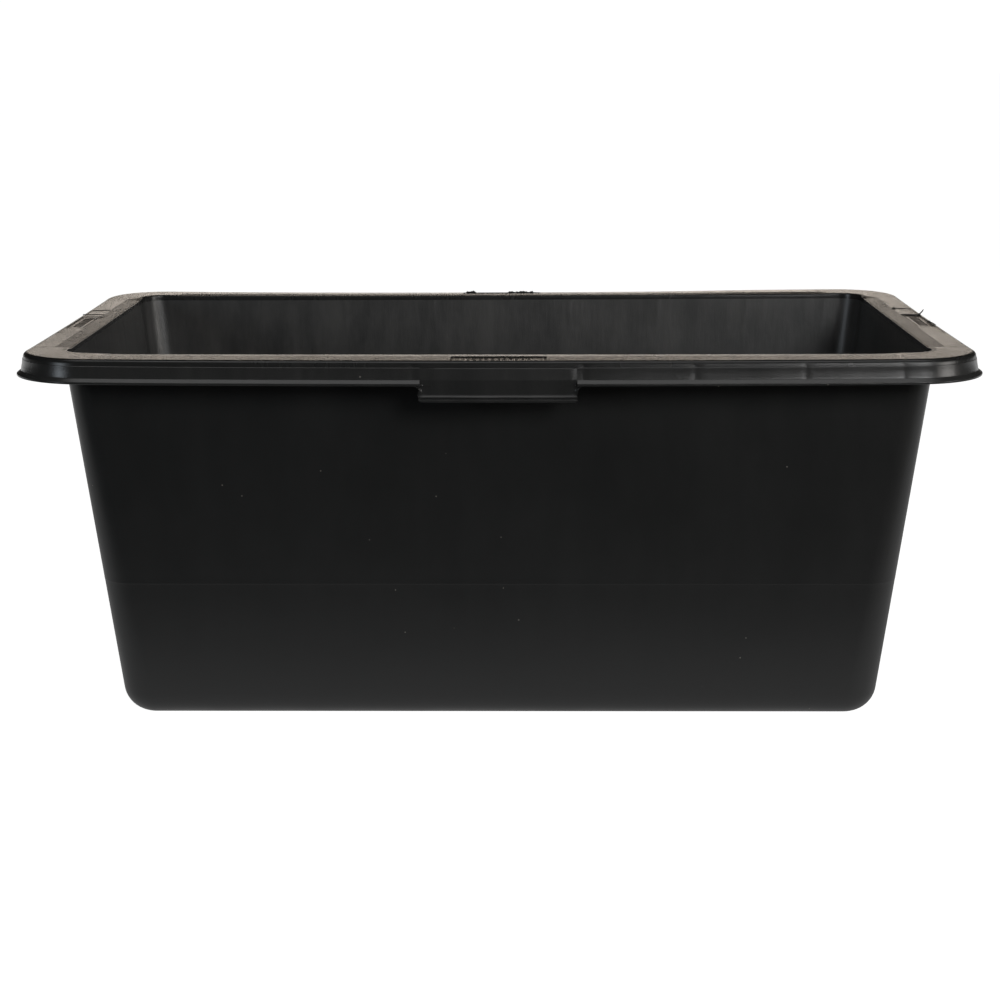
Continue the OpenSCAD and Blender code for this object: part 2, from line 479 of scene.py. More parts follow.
def skirt_runs():
    """The stations of the four lengths of skirt, each from one grip round a corner to the next."""
    starts = [i for i, st in enumerate(STATIONS) if abs(st.along - GRIP_HALF) < 1e-7]
    ends = [i for i, st in enumerate(STATIONS) if abs(st.along + GRIP_HALF) < 1e-7]
    for k, start in enumerate(starts):
        end = ends[(k + 1) % 4]
        if end < start:
            yield STATIONS[start:] + STATIONS[:end + 1]
        else:
            yield STATIONS[start:end + 1]


def make_skirt():
    outline = skirt_outline()
    parts = []
    for run in skirt_runs():
        rings = [[rim_point(station, *point) for point in outline] for station in run]
        parts.append(loft(rings, False, True))
    return tidy_mesh(add_object("rim_skirt_body", *merged(parts)))


def grip_half_at(height):
    """Half of a grip's length at a height: fillets under the skirt, rounded corners below."""
    if height > -SKIRT_DEPTH:
        return GRIP_HALF
    fillet_low = -SKIRT_DEPTH - GRIP_FILLET
    if height > fillet_low:
        rise = height - fillet_low
        return GRIP_HALF + GRIP_FILLET - math.sqrt(max(0.0, GRIP_FILLET ** 2 - rise ** 2))
    corner = 2.2 * MM
    drop = max(0.0, -GRIP_DEPTH + corner - height)
    return GRIP_HALF - corner + math.sqrt(max(0.0, corner ** 2 - drop ** 2))


def grip_rows():
    """(height, outer inset, inner inset, half length) down a grip, top to bottom."""
    low = -GRIP_DEPTH
    groove = BEAD_INSET + 1.0 * MM
    outer = rounded([
        (skirt_outer(FLANGE_DEPTH), -FLANGE_DEPTH, 0),
        (skirt_outer(FLANGE_DEPTH) + 1 * MM, -FLANGE_DEPTH, 0),
        (BEAD_INSET + 3 * MM, low, 0),
        (BEAD_INSET, low, 0.7 * MM),
        (BEAD_INSET, low + 1.8 * MM, 0.6 * MM),
        (groove, low + 2.4 * MM, 0.3 * MM),
        (groove, low + 3.2 * MM, 0.3 * MM),
        (BEAD_INSET + 0.1 * MM, low + 3.7 * MM, 0.5 * MM),
        (BEAD_INSET + 0.1 * MM, low + BEAD_HEIGHT - 1.5 * MM, 0.3 * MM),
        (BEAD_INSET + 1.2 * MM, low + BEAD_HEIGHT - 0.4 * MM, 0.3 * MM),
        (GRIP_INSET, low + BEAD_HEIGHT, 0.6 * MM),
        (GRIP_INSET + 0.2 * MM, -SKIRT_DEPTH + LIP_RISE, 3 * MM)]
        + [(skirt_outer(-height * MM), height * MM, 0) for height in PANEL_TOP], 0.2 * MM)
    path = [outer[0]] + [p for p in reversed(outer[2:])]
    path = [p for p in path if p.y > low + 0.01 * MM or p.x < BEAD_INSET + 1.5 * MM]
    fine = []
    for here, there in zip(path, path[1:]):
        count = max(1, math.ceil((here - there).length / (1.2 * MM)))
        fine += [here.lerp(there, k / count) for k in range(count)]
    fine.append(path[-1])
    rows = []
    foot = 1.0 * MM                             # radius along the foot's inner edge
    for point in fine:
        share = (-FLANGE_DEPTH - point.y) / (GRIP_DEPTH - FLANGE_DEPTH)
        inner = skirt_inner(FLANGE_DEPTH) * (1 - share) + (BEAD_INSET + GRIP_FOOT) * share
        drop = max(0.0, low + foot - point.y)
        inner -= foot - math.sqrt(max(0.0, foot ** 2 - drop ** 2))
        rows.append((point.y, point.x, inner, grip_half_at(point.y)))
    ledge = next(i for i, row in enumerate(rows) if row[0] <= -SKIRT_DEPTH)
    height, outer_inset, inner_inset, _ = rows[ledge]
    rows.insert(ledge, (-SKIRT_DEPTH, outer_inset, inner_inset, GRIP_HALF + GRIP_FILLET))
    rows.insert(ledge, (-SKIRT_DEPTH, outer_inset, inner_inset, GRIP_HALF))
    return rows


def grip_columns():
    """Shares of the half length, closer at the ends."""
    fine = [1.0, 0.997, 0.992, 0.985, 0.975, 0.965, 0.95, 0.92, 0.895, 0.87]
    even = [k / 10 for k in range(1, 9)]
    right = sorted(fine + even)
    return [-u for u in reversed(right)] + [0.0] + right


def grip_relief(side, share, along, edge, height):
    """How far a grip's face stands out: its panel, turned-out ends and uneven bead."""
    border = 8 * MM if side == FRONT and share < 0 else 2 * MM
    panel = smooth(border - 3 * MM, border + 3 * MM, edge)
    relief = PANEL_RISE * panel * smooth(PANEL_TOP[-1] * MM, PANEL_TOP[0] * MM, height)
    if height <= -SKIRT_DEPTH:
        turned_out = smooth(-SKIRT_DEPTH - GRIP_FILLET - 3 * MM, -SKIRT_DEPTH, height)
        relief += 2.4 * MM * turned_out * smooth(2.4 * MM, 0.4 * MM, edge)
    if height < -GRIP_DEPTH + BEAD_HEIGHT:
        relief -= 0.12 * MM * noise.noise(Vector((along * 90, height * 300, side)))
    return relief


def grip_nub(share, inset, height):
    """The rough nub at the left end of the front grip."""
    rough = noise.noise(Vector((height * 700, inset * 500, 3.1)))
    swell = bump(height, -GRIP_DEPTH + 5.5 * MM, 8 * MM)
    return swell * (1.6 + 1.2 * rough) * MM * smooth(-0.98, -1.0, share)


def make_grip(side, name):
    rows = grip_rows()
    columns = grip_columns()
    grids = []
    for inner in (False, True):
        grid = []
        for height, outer_inset, inner_inset, half in rows:
            line = []
            for share in columns:
                along = half * share
                edge = half - abs(along)        # distance from the grip's end
                inset = inner_inset
                if not inner:
                    inset = outer_inset - grip_relief(side, share, along, edge, height)
                if side == FRONT and share < -0.98 and height < -SKIRT_DEPTH - 4 * MM:
                    along -= grip_nub(share, inset, height)
                line.append(side_point(side, inset, along, height))
            grid.append(line)
        grids.append(grid)

    width = len(columns)
    vertices = [p for grid in grids for line in grid for p in line]
    faces = []
    size = len(rows) * width
    for r in range(len(rows) - 1):
        for c in range(width - 1):
            a = r * width + c
            quad = (a, a + 1, a + width + 1, a + width)
            faces.append(quad)
            faces.append(tuple(size + i for i in reversed(quad)))
    border = list(range(width))
    border += [r * width + width - 1 for r in range(1, len(rows))]
    border += [(len(rows) - 1) * width + c for c in range(width - 2, -1, -1)]
    border += [r * width for r in range(len(rows) - 2, 0, -1)]
    for here, there in zip(border, border[1:] + border[:1]):
        faces.append((there, here, size + here, size + there))
    return tidy_mesh(add_object(name, vertices, faces), sharp=40)


def make_webs():
    """The thin webs under the flange, a little thinner at their free edge."""
    outline = rounded([
        (skirt_inner(WEB_DEPTH), -WEB_DEPTH, 0),
        (skirt_inner(RIM_THICK), -RIM_THICK, UNDER_RADIUS),
        (wall_outer(RIM_THICK), -RIM_THICK, UNDER_RADIUS),
        (wall_outer(WEB_DEPTH), -WEB_DEPTH, 0),
        ((skirt_inner(WEB_DEPTH) + wall_outer(WEB_DEPTH)) / 2, -WEB_DEPTH + 2.5 * MM, 20 * MM)])
    parts = []
    for side in range(4):
        for web in WEB_PLACES if is_long(side) else WEB_PLACES[:2]:
            for end in (-1, 1):
                rings = []
                for face in (-0.5, 0.5):
                    ring = []
                    for inset, height in outline:
                        thin = 1 + 0.25 * height / WEB_DEPTH
                        along = end * web + face * WEB_THICK * thin
                        ring.append(side_point(side, inset, along, height))
                    rings.append(ring)
                parts.append(loft(rings, False, True))
    return tidy_mesh(add_object("rim_web_set", *merged(parts)))


def shell_levels(wall_steps=46, arc_steps=12):
    """(centre inset, corner radius, height) of the outer and the inner skin, from the top down."""
    top_z = HEIGHT - FLANGE_DEPTH
    top_radius = LIP_CORNER - WALL_TOP_INSET
    wall_across = WALL / math.cos(DRAFT)
    foot_inset = WALL_TOP_INSET + (HEIGHT - FLANGE_DEPTH) * math.tan(DRAFT) + FOOT_CORNER
    skins = []
    for skin, base, edge in ((0, 0, FLOOR_RADIUS), (wall_across, FLOOR, FLOOR_RADIUS - WALL)):
        arc_x = FOOT_CORNER - skin + (base + edge) * math.tan(DRAFT) - edge / math.cos(DRAFT)
        arc_z = base + edge
        foot_z = arc_z - edge * math.sin(DRAFT)
        foot_radius = arc_x + edge * math.cos(DRAFT)
        levels = []
        for k in range(wall_steps):
            share = (k / wall_steps) ** 1.15    # closer together near the rim
            z = top_z + (foot_z - top_z) * share
            levels.append((LIP_CORNER + (foot_inset - LIP_CORNER) * share,
                           top_radius - skin + (foot_radius - top_radius + skin) * share, z))
        for k in range(arc_steps + 1):
            angle = -DRAFT - (math.pi / 2 - DRAFT) * k / arc_steps
            levels.append((foot_inset, arc_x + edge * math.cos(angle),
                           arc_z + edge * math.sin(angle)))
        skins.append(levels)
    return skins


def shell_point(station, level, inner):
    """A point of a skin, with ripples, the webs' marks inside and the witness line outside."""
    centre_inset, radius, z = level
    along = abs(station.along)
    if inner:
        depth = HEIGHT - z
        webs = [web for web in WEB_PLACES if web < half_run(station.side)]
        mark = sum(bump(along, web, 5 * MM) for web in webs) * smooth(60 * MM, 0, depth)
        radius -= mark * 0.18 * MM
    else:
        radius += 0.05 * MM * smooth(WITNESS_Z - 0.5 * MM, WITNESS_Z + 0.5 * MM, z)
        radius += 0.12 * MM * bump(z, WITNESS_Z, 1.1 * MM)
    point = station.on_ring(centre_inset, radius, z)
    straight = smooth(half_run(station.side) + 5 * MM, half_run(station.side) - 60 * MM, along)
    ripple = noise.noise(Vector((point.x * 6, point.y * 6, point.z * 9 + 4.0)))
    off_foot = smooth(20 * MM, 90 * MM, z) * smooth(0, 30 * MM, HEIGHT - FLANGE_DEPTH - z)
    shift = station.out * (ripple * 0.45 * MM * straight * off_foot)
    return warped(point + Vector((shift.x, shift.y, 0)))


def make_shell():
    outer_levels, inner_levels = shell_levels()
    for extra in (1.2, 0.5, 0, -0.5, -1.2):             # the levels that shape the witness line
        z = WITNESS_Z + extra * MM
        spot = next(i for i, level in enumerate(outer_levels) if level[2] < z)
        high, low = outer_levels[spot - 1], outer_levels[spot]
        share = (z - high[2]) / (low[2] - high[2])
        outer_levels.insert(spot, tuple(a + (b - a) * share for a, b in zip(high, low)))
    rings = []
    for levels, inner in ((outer_levels, False), (inner_levels, True)):
        rows = [[shell_point(st, level, inner) for st in STATIONS] for level in levels]
        middle = Vector((0, 0, levels[-1][2]))
        for share in (0.93, 0.8, 0.6, 0.35, 0.12):
            rows.append([middle.lerp(point, share) for point in rows[len(levels) - 1]])
        rings.append(rows)
    outside, inside = rings
    vertices, faces = loft(list(reversed(outside)) + inside, False, True)
    shell = add_object("tub_shell_body", vertices, faces)
    inner_start = (len(outside) + 1) * len(STATIONS)    # below the ring at the flange
    for face, corners in zip(shell.data.polygons, faces):
        face.material_index = 1 if max(corners) >= inner_start else 0
    return tidy_mesh(shell)


def make_pad(side, name):
    """A blank pad: a plain raised border, and evenly spaced studs where a marking would go."""
    half_long = (PAD_HIGH.x - PAD_LOW.x) / 2
    half_wide = (PAD_HIGH.y - PAD_LOW.y) / 2
    middle_inset = PAD_LOW.y - LOW.y + half_wide
    base = PAD_LOW.z - HIGH.z
    border_rise = 0.2 * MM
    stud_rise = 0.12 * MM
    floor = PAD_HIGH.z - PAD_LOW.z - border_rise
    border = 1.2 * MM
    pitch = half_long * 2 / 15
    row_pitch = half_wide * 2 / 4.5
    gap = 0.5 if is_long(side) else 0.3                 # share of the pitch between studs

    def rib(u, v):
        """1 on one of the studs, 0 off them."""
        columns = smooth(gap, gap + 0.12, abs((u / pitch) % 1 - 0.5) * 2)
        rows = smooth(gap - 0.08, gap + 0.04, abs((v / row_pitch) % 1 - 0.5) * 2)
        inside = smooth(0.82, 0.76, abs(u) / half_long) * smooth(0.78, 0.70, abs(v / half_wide))
        return columns * rows * inside

    def relief(u, v):
        edge = min(half_long - abs(u), half_wide - abs(v))
        return floor + border_rise * smooth(border, border * 0.6, edge) + stud_rise * rib(u, v)

    long_count, wide_count = 264, 26
    grid = [(-half_long + 2 * half_long * i / long_count,
             -half_wide + 2 * half_wide * j / wide_count)
            for i in range(long_count + 1) for j in range(wide_count + 1)]
    top = [side_point(side, middle_inset + v, u, base + relief(u, v)) for u, v in grid]
    under = [side_point(side, middle_inset + v, u, base) for u, v in grid]
    row = wide_count + 1
    size = len(top)
    faces, ribbed = [], []
    for i in range(long_count):
        for j in range(wide_count):
            a = i * row + j
            quad = (a, a + 1, a + row + 1, a + row)
            faces.append(quad)
            ribbed.append(max(rib(*grid[n]) for n in quad) > 0.4)
            faces.append(tuple(size + n for n in reversed(quad)))
            ribbed.append(False)
    border_loop = [i * row for i in range(long_count + 1)]
    border_loop += [long_count * row + j for j in range(1, row)]
    border_loop += [i * row + wide_count for i in range(long_count - 1, -1, -1)]
    border_loop += list(range(wide_count - 1, 0, -1))
    for here, there in zip(border_loop, border_loop[1:] + border_loop[:1]):
        faces.append((there, here, size + here, size + there))
        ribbed.append(False)
    pad = add_object(name, top + under, faces)
    for face, dark in zip(pad.data.polygons, ribbed):
        face.material_index = 1 if dark else 0
    return tidy_mesh(pad)


def strand(path, radius, tip):
    """A tapered strand of plastic along points of (x, y, z)."""
    rings = []
    points = [Vector(p) for p in path]
    for i, point in enumerate(points):
        ahead = (points[min(i + 1, len(points) - 1)] - points[max(i - 1, 0)]).normalized()
        across = ahead.cross(Vector((0, 0, 1))).normalized()
        rise = across.cross(ahead)
        thick = radius + (tip - radius) * i / (len(points) - 1)
        rings.append([point + across * thick * math.cos(math.tau * k / 8)
                      + rise * thick * math.sin(math.tau * k / 8) for k in range(8)])
    return loft(rings, False, True)


def curve(knots, steps=6):
    """A smooth path through (x, y, z) knots."""
    points = [Vector(k) for k in knots]
    padded = [points[0] * 2 - points[1]] + points + [points[-1] * 2 - points[-2]]
    path = []
    for p0, p1, p2, p3 in zip(padded, padded[1:], padded[2:], padded[3:]):
        for k in range(steps):
            t = k / steps
            path.append(0.5 * (2 * p1 + (p2 - p0) * t + (2 * p0 - 5 * p1 + 4 * p2 - p3) * t ** 2
                               + (3 * p1 - 3 * p2 + p3 - p0) * t ** 3))
    return path + [points[-1]]


def make_flash():
    """Thin dark plastic at the pockets: ragged flash ridges at the back, flash hairs at the right
    side, and a thin dark strand along the back edge of each short side's pocket.
    """
    parts = []
    ridge_height = 1.8 * MM
    for start, end in ((-35, -25), (5, 34)):
        middle, half = (start + end) / 2 * MM, (end - start) / 2 * MM
        count = round((end - start) * 2.2)
        rings = []
        for i in range(count + 1):
            x = middle - half + 2 * half * i / count
            rough = noise.noise(Vector((x * 420, 1.7, 0)))
            rough += 0.7 * noise.noise(Vector((x * 1300, 5.1, 0)))
            height = ridge_height * max(0.08, 0.6 + 0.8 * rough)
            height *= smooth(half, half * 0.8, abs(x - middle))
            ring = []
            for inset, up in ((9.0, 0), (10.0, 0), (9.8, 0.75), (9.5, 1), (9.2, 0.75)):
                lift = height * up if up else -0.4 * MM
                ring.append(warped(Vector((x, WIDTH / 2 - inset * MM, HIGH.z + lift))))
            rings.append(ring)
        parts.append(loft(rings, False, True))

    def thin_strand(end, radius, tip, *knots):
        """A thin strand on the right (1) or left (-1) side, by knots of inset, place along and
        height.
        """
        path = curve([(end * (LENGTH / 2 - inset * MM), along * MM, HIGH.z + height * MM)
                      for inset, along, height in knots])
        parts.append(strand(path, radius * MM, tip * MM))

    # A thin dark strand along the back edge of each short side's pocket, darkening that edge.
    for end in (-1, 1):
        thin_strand(end, 0.35, 0.4, (29, 37.5, -1.2), (22, 37.6, -1.0), (14, 37.3, -1.1),
             (10, 37.6, -0.9))
    thin_strand(1, 0.75, 0.45, (11, 37.4, -1.0), (9.6, 39, -0.85), (7.4, 45, -0.8), (3.4, 57, -0.7),
         (0.8, 66, -0.6))
    thin_strand(1, 0.45, 0.35, (11.4, -6, -1.1), (10.6, -10, -0.9), (9.8, -16, -0.8), (8.8, -22, -1.1))
    thin_strand(1, 0.45, 0.25, (10.8, -12, -1.0), (9.9, -9, -0.65), (9.2, -5, -0.6))
    thin_strand(1, 0.45, 0.3, (11.0, -14, -1.0), (9.6, -20, -0.75), (8.6, -27, -1.2))
    thin_strand(1, 0.45, 0.4, (27, 76.5, -0.6), (25.5, 77.4, -0.5), (24.2, 76.8, -0.6))
    return tidy_mesh(add_object("mould_flash_and_dark_strands", *merged(parts)))


# ---- materials --------------------------------------------------------------------------------

class Nodes:
    """Short calls for building the node tree of a material or a world."""

    def __init__(self, owner, output="ShaderNodeOutputMaterial"):
        self.owner = owner
        owner.use_nodes = True
        self.tree = owner.node_tree
        self.tree.nodes.clear()
        self.output = self.add(output)

    @classmethod
    def material(cls, name):
        return cls(bpy.data.materials.new(name))

    def add(self, kind, **settings):
        node = self.tree.nodes.new(kind)
        for key, value in settings.items():
            setattr(node, key, value)
        return node

    def link(self, source, target):
        self.tree.links.new(source, target)

    def feed(self, socket, value):
        if isinstance(value, bpy.types.NodeSocket):
            self.link(value, socket)
        else:
            socket.default_value = value

    def stretched(self, scale):
        """Object coordinates, scaled by an amount for each axis."""
        mapping = self.add("ShaderNodeMapping")
        mapping.inputs["Scale"].default_value = scale
        self.link(self.add("ShaderNodeTexCoord").outputs["Object"], mapping.inputs["Vector"])
        return mapping.outputs["Vector"]

    def noise(self, scale, detail=3.0, rough=0.55, stretch=(1, 1, 1)):
        node = self.add("ShaderNodeTexNoise")
        self.link(self.stretched(stretch), node.inputs["Vector"])
        node.inputs["Scale"].default_value = scale
        node.inputs["Detail"].default_value = detail
        node.inputs["Roughness"].default_value = rough
        return node.outputs["Fac"]

    def ramp(self, value, low, high, to_low=0.0, to_high=1.0):
        node = self.add("ShaderNodeMapRange", interpolation_type="SMOOTHSTEP")
        self.feed(node.inputs["Value"], value)
        for key, amount in (("From Min", low), ("From Max", high),
                            ("To Min", to_low), ("To Max", to_high)):
            node.inputs[key].default_value = amount
        return node.outputs["Result"]

    def maths(self, operation, *values):
        node = self.add("ShaderNodeMath", operation=operation)
        for socket, value in zip(node.inputs, values):
            self.feed(socket, value)
        return node.outputs[0]

    def mix(self, share, a, b):
        node = self.add("ShaderNodeMix", data_type="RGBA")
        self.feed(node.inputs["Factor"], share)
        for socket, value in ((node.inputs[6], a), (node.inputs[7], b)):
            self.feed(socket, value if isinstance(value, bpy.types.NodeSocket) else (*value, 1))
        return node.outputs[2]

    def speckle(self, scale, size):
        """Sparse small dots: 1 on a dot."""
        node = self.add("ShaderNodeTexVoronoi")
        self.link(self.stretched((1, 1, 1)), node.inputs["Vector"])
        node.inputs["Scale"].default_value = scale
        return self.ramp(node.outputs["Distance"], size, size * 0.5)

    def bumps(self, layers):
        """Chained bumps from (height, distance) pairs."""
        normal = None
        for height, distance in layers:
            node = self.add("ShaderNodeBump")
            node.inputs["Strength"].default_value = 1.0
            node.inputs["Distance"].default_value = distance
            self.feed(node.inputs["Height"], height)
            if normal is not None:
                self.link(normal, node.inputs["Normal"])
            normal = node.outputs["Normal"]
        return normal

    def surface(self, colour, roughness, normal, specular=0.5):
        shader = self.add("ShaderNodeBsdfPrincipled")
        self.feed(shader.inputs["Base Color"], colour)
        self.feed(shader.inputs["Roughness"], roughness)
        shader.inputs["Specular IOR Level"].default_value = specular
        self.link(normal, shader.inputs["Normal"])
        self.link(shader.outputs["BSDF"], self.output.inputs["Surface"])
        return self.owner

    def seen_or_lit(self, lit, seen):
        """Ends the tree: one shader for light and reflections, another for the camera."""
        choose = self.add("ShaderNodeMixShader")
        self.link(self.add("ShaderNodeLightPath").outputs["Is Camera Ray"], choose.inputs[0])
        self.link(lit.outputs[0], choose.inputs[1])
        self.link(seen.outputs[0], choose.inputs[2])
        self.link(choose.outputs[0], self.output.inputs["Surface"])


BLACK = (0.019, 0.0195, 0.0195)
SOFT_BLACK = (0.028, 0.028, 0.027)
# Tan laid on near-flat upward faces: partly dust, partly painted sheen that lightens the tops.
DUST_AND_SHEEN = (0.17, 0.145, 0.12)
SPECK = (0.30, 0.28, 0.25)


def facing_up(nodes, low, high):
    """0 to 1 as the upward part of the surface's direction goes from low to high."""
    split = nodes.add("ShaderNodeSeparateXYZ")
    nodes.link(nodes.add("ShaderNodeNewGeometry").outputs["Normal"], split.inputs[0])
    return nodes.ramp(split.outputs["Z"], low, high)


def moulded_plastic(name, streaks, dust_and_sheen, dark=BLACK, light=SOFT_BLACK, rough_low=0.32,
                    rough_high=0.44, specular=0.5, specks=1.0, waviness=1.0):
    """Black moulded plastic: fine grain, flow streaks, specks, and a tan layer on what faces up
    that is partly dust and partly painted sheen.
    """
    nodes = Nodes.material(name)
    cloud = nodes.noise(9, 4, 0.6)
    grain = nodes.noise(1500, 2, 0.6)
    flow = nodes.noise(9, 5, 0.7, (4.0, 4.0, 0.35))
    slant = nodes.noise(10, 4, 0.65, (3.0, 0.6, 1.2))
    lines = nodes.maths("MULTIPLY_ADD", flow, 0.4, nodes.maths("MULTIPLY", slant, 0.6))
    tone = nodes.ramp(lines, 0.35, 0.68, 0.0, streaks)
    base = nodes.mix(tone, dark, light)
    dots = nodes.maths("MULTIPLY", nodes.speckle(48, 0.032),
                       nodes.ramp(cloud, 0.44, 0.5, 0.0, specks))
    base = nodes.mix(dots, base, SPECK)
    # Patchy tan on near-flat upward faces: partly dust, partly painted sheen.
    dust_and_sheen_mask = nodes.maths("MULTIPLY", facing_up(nodes, 0.9965, 0.9990),
                          nodes.ramp(nodes.noise(70, 6, 0.65), 0.25, 0.75, dust_and_sheen * 0.7, dust_and_sheen))
    base = nodes.mix(dust_and_sheen_mask, base, DUST_AND_SHEEN)
    roughness = nodes.ramp(nodes.maths("ADD", nodes.maths("MULTIPLY", cloud, 0.5),
                                       nodes.maths("MULTIPLY", lines, 0.5)),
                           0.3, 0.7, rough_low, rough_high)
    normal = nodes.bumps([(flow, 0.0004 * streaks * waviness), (cloud, 0.0006 * waviness),
                          (grain, 0.00006)])
    return nodes.surface(base, roughness, normal, specular)


def rib_plastic(name):
    """Scuffed plastic for the pads' studs: duller than the flange round them."""
    nodes = Nodes.material(name)
    cloud = nodes.noise(260, 4, 0.7)
    base = nodes.mix(nodes.ramp(cloud, 0.35, 0.68), (0.035, 0.031, 0.028), (0.11, 0.095, 0.082))
    roughness = nodes.ramp(cloud, 0.3, 0.7, 0.50, 0.30)
    normal = nodes.bumps([(nodes.noise(900, 3, 0.6), 0.00015)])
    return nodes.surface(base, roughness, normal, specular=0.5)


def flash_plastic(name):
    """Thin torn plastic: dark, dull and a little uneven."""
    nodes = Nodes.material(name)
    cloud = nodes.noise(400, 3, 0.6)
    base = nodes.mix(cloud, (0.018, 0.018, 0.018), (0.045, 0.043, 0.040))
    roughness = nodes.ramp(cloud, 0.3, 0.7, 0.6, 0.8)
    normal = nodes.bumps([(nodes.noise(1400, 2, 0.6), 0.0001)])
    return nodes.surface(base, roughness, normal, specular=0.2)


def dress(item, materials, slot, *stands_for):
    """Gives a piece its materials, hangs it under the root body and hides the CAD nodes that it
    stands for. The slot argument is not used.
    """
    for material in materials:
        item.data.materials.append(material)
    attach(item, "root")
    for node in stands_for:
        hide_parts(node)
    return item


# Its base is lighter than the flange's: painted light on the skirt's face.
SKIRT_PLASTIC = moulded_plastic("black_skirt_plastic", streaks=0.5, dust_and_sheen=0.8,
                                dark=(0.029, 0.0295, 0.0295), light=(0.047, 0.047, 0.046),
                                rough_low=0.20, rough_high=0.28)
WALL_PLASTIC = moulded_plastic("black_wall_plastic", streaks=0.12, dust_and_sheen=0.0,
                               dark=(0.021, 0.0215, 0.0215), light=(0.032, 0.032, 0.031))
# Its base is about twice as light as the outer wall's: painted light on the inner walls, which
# face up towards the lamps.
INNER_PLASTIC = moulded_plastic("black_inner_plastic", streaks=1.0, dust_and_sheen=0.2,
                                dark=(0.034, 0.0345, 0.035), light=(0.068, 0.067, 0.065),
                                rough_low=0.32, rough_high=0.40, specular=0.7)
# The flat top takes the tan of dust and painted sheen. The bevel takes none, so it reads darker.
RIM_PLASTIC = moulded_plastic("black_rim_plastic", streaks=0.3, dust_and_sheen=0.5, rough_low=0.14,
                              rough_high=0.22, specks=0.0, waviness=0.4)
BEVEL_PLASTIC = moulded_plastic("black_bevel_plastic", streaks=0.4, dust_and_sheen=0.0, rough_low=0.22,
                                rough_high=0.30, specks=0.0, waviness=0.3)
HIDDEN_PLASTIC = moulded_plastic("black_web_plastic", streaks=0.3, dust_and_sheen=0.1)
RIB_PLASTIC = rib_plastic("marking_rib_plastic")
FLASH_PLASTIC = flash_plastic("torn_flash_plastic")

dress(make_shell(), [WALL_PLASTIC, INNER_PLASTIC], "moulded_black", "tub_shell")
dress(make_flange(), [RIM_PLASTIC, BEVEL_PLASTIC], "rim_black", "rim_flange")
dress(make_skirt(), [SKIRT_PLASTIC], "rim_black", "rim_skirt")
dress(make_webs(), [HIDDEN_PLASTIC], "moulded_black", "rim_webs")
for side, word in enumerate(("front", "right", "back", "left")):
    dress(make_grip(side, f"{word}_grip_body"), [SKIRT_PLASTIC], "rim_black", f"{word}_grip")
    dress(make_pad(side, f"{word}_pad_body"), [RIM_PLASTIC, RIB_PLASTIC], "marking_pad",
          f"{word}_pad")
dress(make_flash(), [FLASH_PLASTIC], "rim_black")


# ---- floor, light and camera ------------------------------------------------------------------

# The band of light behind the tub. Its edges are parts of a direction of length 1: sideways
# edges by Y, and heights by Z, the sine of the elevation.
BAND_SIDE, BAND_MIDDLE = 0.93, 0.995
BESIDE_BAND = 0.03
BAND_FOOT, BAND_START = 0.04, 0.10
BAND_BELOW = 0.08
BAND_FULL, BAND_END = 0.11, 0.171
BAND_LIGHT = 2.6
BAND_ABOVE = 0.06
WARM_START, WARM_FULL = 0.04, 0.14
LOW_TINT = (1.0, 0.98, 0.95)
HIGH_TINT = (1.0, 0.85, 0.70)
ROOM_LIGHT = 0.01
WHITE_SEEN = 1.05

# How the floor glows for light and reflections, by Y: dark in front, lighter under and behind
FLOOR_SIZE = 30.0
FLOOR_GREY = 0.5
FLOOR_FAR, FLOOR_NEAR = -0.43, -0.18
FLOOR_DARK, FLOOR_GLOW = 0.01, 0.42
BEHIND_START, BEHIND_FULL, BEHIND_GLOW = 0.25, 0.9, 0.4


def make_floor():
    """A plain white floor, darker to the tub's own reflections than it looks to the camera."""
    size = FLOOR_SIZE
    corners = [(-size, -size, 0), (size, -size, 0), (size, size, 0), (-size, size, 0)]
    floor = add_object("studio_floor", corners, [(0, 1, 2, 3)])
    nodes = Nodes.material("floor_white")
    shadowed = nodes.add("ShaderNodeBsdfDiffuse")
    nodes.feed(shadowed.inputs["Color"], (FLOOR_GREY, FLOOR_GREY, FLOOR_GREY, 1))
    glow = nodes.add("ShaderNodeEmission")
    nodes.feed(glow.inputs["Color"], (1, 1, 1, 1))
    seen = nodes.add("ShaderNodeAddShader")
    nodes.link(shadowed.outputs[0], seen.inputs[0])
    nodes.link(glow.outputs[0], seen.inputs[1])
    place = nodes.add("ShaderNodeSeparateXYZ")
    nodes.link(nodes.stretched((1, 1, 1)), place.inputs[0])
    y = place.outputs["Y"]
    bounced = nodes.add("ShaderNodeEmission")
    nodes.link(nodes.maths("ADD", nodes.ramp(y, FLOOR_FAR, FLOOR_NEAR, FLOOR_DARK, FLOOR_GLOW),
                           nodes.ramp(y, BEHIND_START, BEHIND_FULL, 0.0, BEHIND_GLOW)),
               bounced.inputs["Strength"])
    nodes.seen_or_lit(bounced, seen)
    floor.data.materials.append(nodes.owner)


